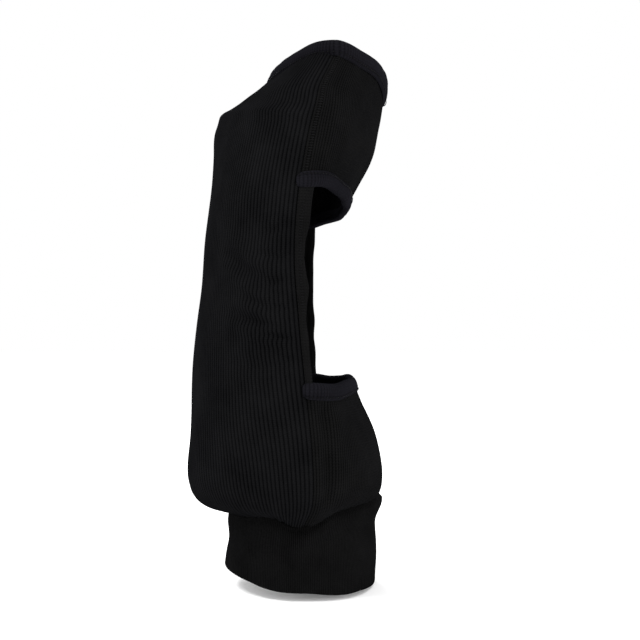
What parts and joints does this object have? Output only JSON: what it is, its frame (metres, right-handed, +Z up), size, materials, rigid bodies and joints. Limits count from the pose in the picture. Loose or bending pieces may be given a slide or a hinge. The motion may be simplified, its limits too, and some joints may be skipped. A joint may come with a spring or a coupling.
{
  "type": "balaclava",
  "caption": "Black rib-knit balaclava with an open bound crown, a wide face opening and a folded neck cuff.",
  "frame": {"origin": "centre of the wearer's head inside the hood, level with the upper part of the face opening", "axes": "+Z up along the head, -Y out of the face opening, +X towards the wearer's left"},
  "size_m": [0.2192, 0.1397, 0.3519],
  "materials": {
    "rib_knit": "vertical rib knit, faintly bluish black, matt",
    "smooth_knit": "fine close knit, neutral to slightly warm black, matt",
    "binding_knit": "plump folded knit strip, bluish black, matt",
    "cuff_rib": "fine vertical rib knit, neutral black, matt",
    "elastic": "woven elastic, hidden inside the bindings",
    "thread": "spun polyester sewing thread, black"
  },
  "bodies": {
    "root": {"back_panel": "rib_knit", "forehead_panel": "smooth_knit", "chin_panel": "smooth_knit", "right_face_band": "smooth_knit", "left_face_band": "smooth_knit", "crown_binding": "binding_knit", "brow_binding": "binding_knit", "chin_binding": "binding_knit", "neck_cuff": "cuff_rib", "crown_elastic": "elastic", "brow_elastic": "elastic", "chin_elastic": "elastic", "right_seam_overlock": "thread", "left_seam_overlock": "thread", "cuff_overlock": "thread", "crown_topstitch": "thread", "brow_topstitch": "thread", "chin_topstitch": "thread", "right_band_topstitch": "thread", "left_band_topstitch": "thread"}
  },
  "joints": []
}
